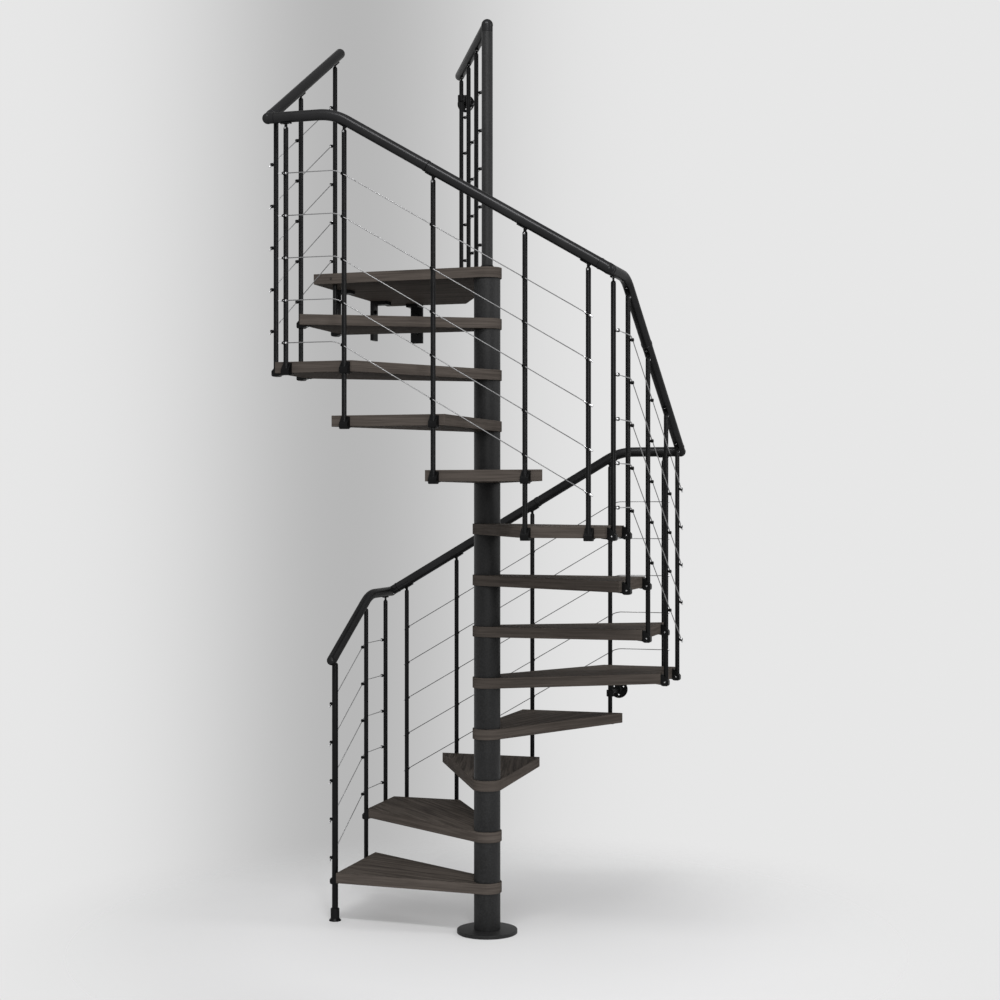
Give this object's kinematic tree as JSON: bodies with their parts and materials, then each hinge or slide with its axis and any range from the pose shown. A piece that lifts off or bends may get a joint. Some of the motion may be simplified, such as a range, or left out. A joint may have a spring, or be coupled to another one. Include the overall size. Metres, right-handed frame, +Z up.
{
  "type": "square-plan spiral staircase",
  "caption": "Square-plan spiral staircase with dark wood treads on a round black column, a cable-rail balustrade, a tubular handrail and a top landing with its guard.",
  "frame": {"origin": "on the floor at the column's axis, on the underside of the base plate", "axes": "+Z up along the column; +Y towards the side that treads 3 and 4 point to; +X towards the side of treads 6 and 7; the climb starts on the -X side and turns clockwise seen from above"},
  "size_m": [1.524, 1.616, 3.933],
  "materials": {
    "stair_wood": "dark stained, satin",
    "black_steel": "black powder coat",
    "rail_graphite": "graphite, satin",
    "cable_steel": "stainless wire rope"
  },
  "bodies": {
    "root": {"base_plate": "black_steel", "core_post": "black_steel", "column_sleeves": "black_steel", "tread_01": "stair_wood", "tread_02": "stair_wood", "tread_03": "stair_wood", "tread_04": "stair_wood", "tread_05": "stair_wood", "tread_06": "stair_wood", "tread_07": "stair_wood", "tread_08": "stair_wood", "tread_09": "stair_wood", "tread_10": "stair_wood", "tread_11": "stair_wood", "tread_12": "stair_wood", "landing": "stair_wood", "landing_brackets": "black_steel", "start_post": "black_steel", "start_post_foot": "black_steel", "balusters_west_lower": "black_steel", "balusters_north": "black_steel", "balusters_east": "black_steel", "balusters_south": "black_steel", "balusters_west_upper": "black_steel", "guard_posts": "black_steel", "handrail_west_lower": "rail_graphite", "handrail_north": "rail_graphite", "handrail_east": "rail_graphite", "handrail_south": "rail_graphite", "handrail_west_upper": "rail_graphite", "rail_joints": "black_steel", "rail_elbows": "rail_graphite", "guard_rail": "rail_graphite", "guard_elbow": "rail_graphite", "cables_west": "cable_steel", "cables_north": "cable_steel", "cables_east": "cable_steel", "cables_south": "cable_steel", "guard_cables": "cable_steel", "holders_west": "black_steel", "holders_north": "black_steel", "holders_east": "black_steel", "holders_south": "black_steel", "rail_saddles": "black_steel", "wall_flanges": "black_steel"}
  },
  "joints": []
}
